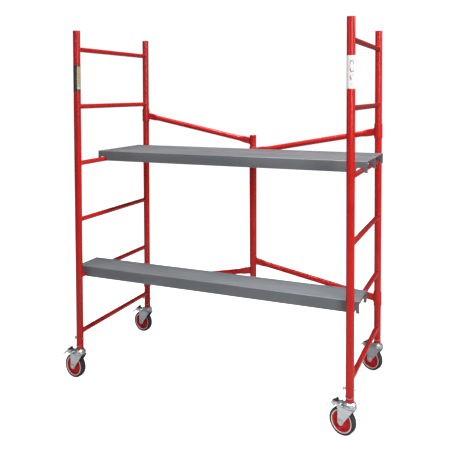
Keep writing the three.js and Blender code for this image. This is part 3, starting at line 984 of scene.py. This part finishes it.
def pin_shape():
    """Shaft, shoulder and split head of the quick-release pin, along X."""
    lay = turn(math.pi / 2, "Y")
    start = -LEG_OUTER - 10
    return Shape().spindle([
        (0.5, start - 3), (5.6, start - 3), (6.8, start - 2), (7, start - 0.5), (7, start + 2.5),
        (6.2, start + 3.6), (4.4, start + 4), (PIN_RADIUS, start + 4.6), (PIN_RADIUS, LEG_OUTER + 5.5),
        (3.2, LEG_OUTER + 7.4),
        (0.5, LEG_OUTER + 8),
    ], 28, lay)


def bail_shape():
    """The spring wire that hangs from the pin's head and curls round the front of the leg."""
    path = []
    steps = 26
    for i in range(steps + 1):
        t = i / steps
        angle = math.radians(178 + t * 128)
        reach = 23.6 + 3.4 * (1 - t) ** 2
        drop = -37 * math.sin(math.pi * min(t * 1.04, 1.0) * 0.62)
        path.append(Vector((reach * math.cos(angle) - 1.5, min(reach * math.sin(angle), 0), drop)))
    path += [path[-1] + Vector((4.5, 0.3, 3.5)), path[-1] + Vector((8.5, -0.4, 8))]
    return Shape().cord(path, 1.1, 10)


def drill(radius, lay):
    """A cutter for a round hole right through a small piece."""
    return Shape().spindle([(radius, -40), (radius, 40)], 24, lay)


def build_caster(side, end):
    corner = f"{side}_{end}"
    cad = f"{corner}_caster"
    place = caster_place(side, end)
    axle_place = place @ Matrix.Translation((TRAIL * MM, 0, WHEEL_RADIUS * MM))
    leg = centre(f"{corner}_leg")
    ladder, swivel, wheel, pedal = f"{side}_ladder", f"{corner}_swivel", f"{corner}_wheel", f"{corner}_pedal"

    stem = stem_shape().build(f"{cad}_stem_turned", ZINC, at(leg.x, leg.y))
    pin_place = at(leg.x, leg.y, (LEG_BOTTOM + PIN_ABOVE_LEG_BOTTOM) * MM)
    carve(stem, drill(PIN_HOLE, turn(math.pi / 2, "Y")), pin_place)
    put(stem, ladder, "zinc_plate", f"{cad}_stem")
    put(fork_shape().build(f"{cad}_fork_sheet", ZINC, place), swivel, "zinc_plate", f"{cad}_fork")
    ears = ear_shape().build(f"{cad}_fork_ears", ZINC, place)
    pivot_place = place @ Matrix.Translation((PEDAL_PIVOT_X * MM, 0, PEDAL_PIVOT_Z * MM))
    carve(ears, drill(PEDAL_PIN_HOLE, turn(math.pi / 2, "X")), pivot_place)
    put(ears, swivel, "zinc_plate")
    put(axle_shape().build(f"{cad}_axle_bolt", ZINC, axle_place), swivel, "zinc_plate", f"{cad}_axle")
    put(hub_shape().build(f"{cad}_hub_disc", HUB_RED, axle_place), wheel, "red_hub", f"{cad}_hub")
    put(rib_shape().build(f"{cad}_hub_ribs", HUB_RED, axle_place), wheel, "red_hub")
    put(rim_ring_shape().build(f"{cad}_rim_rings", RIM, axle_place), wheel, "red_hub")
    put(tyre_shape().build(f"{cad}_tyre_tread", RUBBER, axle_place), wheel, "tyre_rubber", f"{cad}_tyre")
    put(pedal_shape().build(f"{cad}_pedal_strap", ZINC, place), pedal, "zinc_plate", f"{cad}_pedal")
    put(shoe_shape().build(f"{cad}_brake_shoe", BLACK, place), pedal, "tyre_rubber")
    put(knob_shape().build(f"{cad}_foot_tab", BLACK, place), pedal, "tyre_rubber")
    put(pivot_shape().build(f"{cad}_pedal_pivot", ZINC, pivot_place), pedal, "zinc_plate")

    put(pin_shape().build(f"{cad}_pin_shaft", ZINC, pin_place), f"{corner}_pin", "zinc_plate", f"{cad}_pin")
    put(bail_shape().build(f"{cad}_pin_bail", WIRE, pin_place), f"{corner}_pin", "zinc_plate")


# ---------------------------------------------------------------- studio

def build_floor():
    shape = Shape().prism([(-30000, -30000), (30000, -30000), (30000, 30000), (-30000, 30000)], -40, 0)
    n = Nodes("studio_floor")
    tree = n.tree
    speck = n.noise(3, 3)
    n.finish(n.mix(speck, (0.46, 0.46, 0.46), (0.50, 0.50, 0.50)), 0.85)
    glow = n.add("ShaderNodeEmission", Color=(1, 1, 1, 1))
    path = n.add("ShaderNodeLightPath")
    n.set(glow.inputs["Strength"], n.ramp(path.outputs["Is Camera Ray"], 0.0, 1.0))
    total = n.add("ShaderNodeAddShader")
    tree.links.new(n.shader.outputs[0], total.inputs[0])
    tree.links.new(glow.outputs[0], total.inputs[1])
    tree.links.new(total.outputs[0], tree.nodes["Material Output"].inputs[0])
    shape.build("floor", n.material)


def build_world():
    """White to the camera, a dim grey surround to everything else, so that round tubes keep dark edges."""
    world = bpy.data.worlds.new("studio")
    world.use_nodes = True
    bpy.context.scene.world = world
    tree = world.node_tree
    background = tree.nodes["Background"]
    path = tree.nodes.new("ShaderNodeLightPath")
    level = tree.nodes.new("ShaderNodeMapRange")
    tree.links.new(path.outputs["Is Camera Ray"], level.inputs["Value"])
    level.inputs["To Min"].default_value = 0.1
    level.inputs["To Max"].default_value = 1.05
    tree.links.new(level.outputs[0], background.inputs["Strength"])
    background.inputs["Color"].default_value = (1, 1, 1, 1)


def softbox(name, place, target, size, power, diffuse=1.0, spread=180):
    light = bpy.data.lights.new(name, "AREA")
    light.shape = "RECTANGLE"
    light.size, light.size_y = size
    light.energy = power
    light.diffuse_factor = diffuse
    light.spread = math.radians(spread)
    obj = bpy.data.objects.new(name, light)
    obj.location = place
    obj.rotation_euler = (Vector(target) - Vector(place)).to_track_quat("-Z", "Y").to_euler()
    obj.visible_camera = False
    bpy.context.scene.collection.objects.link(obj)


def build_camera():
    """The eye, from the middle of the four legs: 3 m in front, 1.3 m to the right, just above head height."""
    legs = [middle for _, _, middle in leg_places()]
    heart = sum(legs, Vector()) / len(legs)
    camera = bpy.data.cameras.new("camera")
    camera.lens = 49.35
    camera.sensor_width = 36
    camera.shift_y = -0.246
    obj = bpy.data.objects.new("camera", camera)
    obj.location = (heart.x + 1.309, heart.y - 3.065, 1.542)
    obj.rotation_euler = (math.radians(88.04), math.radians(0.2), math.radians(23.53))
    bpy.context.scene.collection.objects.link(obj)
    bpy.context.scene.camera = obj


build_legs()
build_rungs()
build_labels()
for wing_side in SIDES:
    build_wing(wing_side)
build_planks()
for caster_side in SIDES:
    for caster_end in ENDS:
        build_caster(caster_side, caster_end)

build_floor()
build_world()
softbox("key", (2.1, -2.0, 1.9), (0.78, -0.3, 1.0), (0.8, 1.4), 13.5, 1.0, 95)
softbox("fill", (-2.2, -3.8, 1.9), (0, 0, 0.9), (1.6, 2.2), 9)
softbox("side", (2.3, 0.5, 2.6), (0.78, 0, 1.2), (0.7, 1.4), 18, 0.12, 90)
softbox("strip", (-0.4, -2.0, 2.25), (0.78, -0.37, 2.0), (0.12, 0.9), 5, 0.0)
softbox("top", (0.1, -0.1, 7.5), (0.1, -0.1, 0.8), (3.4, 2.2), 685)
build_camera()
bpy.context.scene.view_settings.view_transform = "Standard"
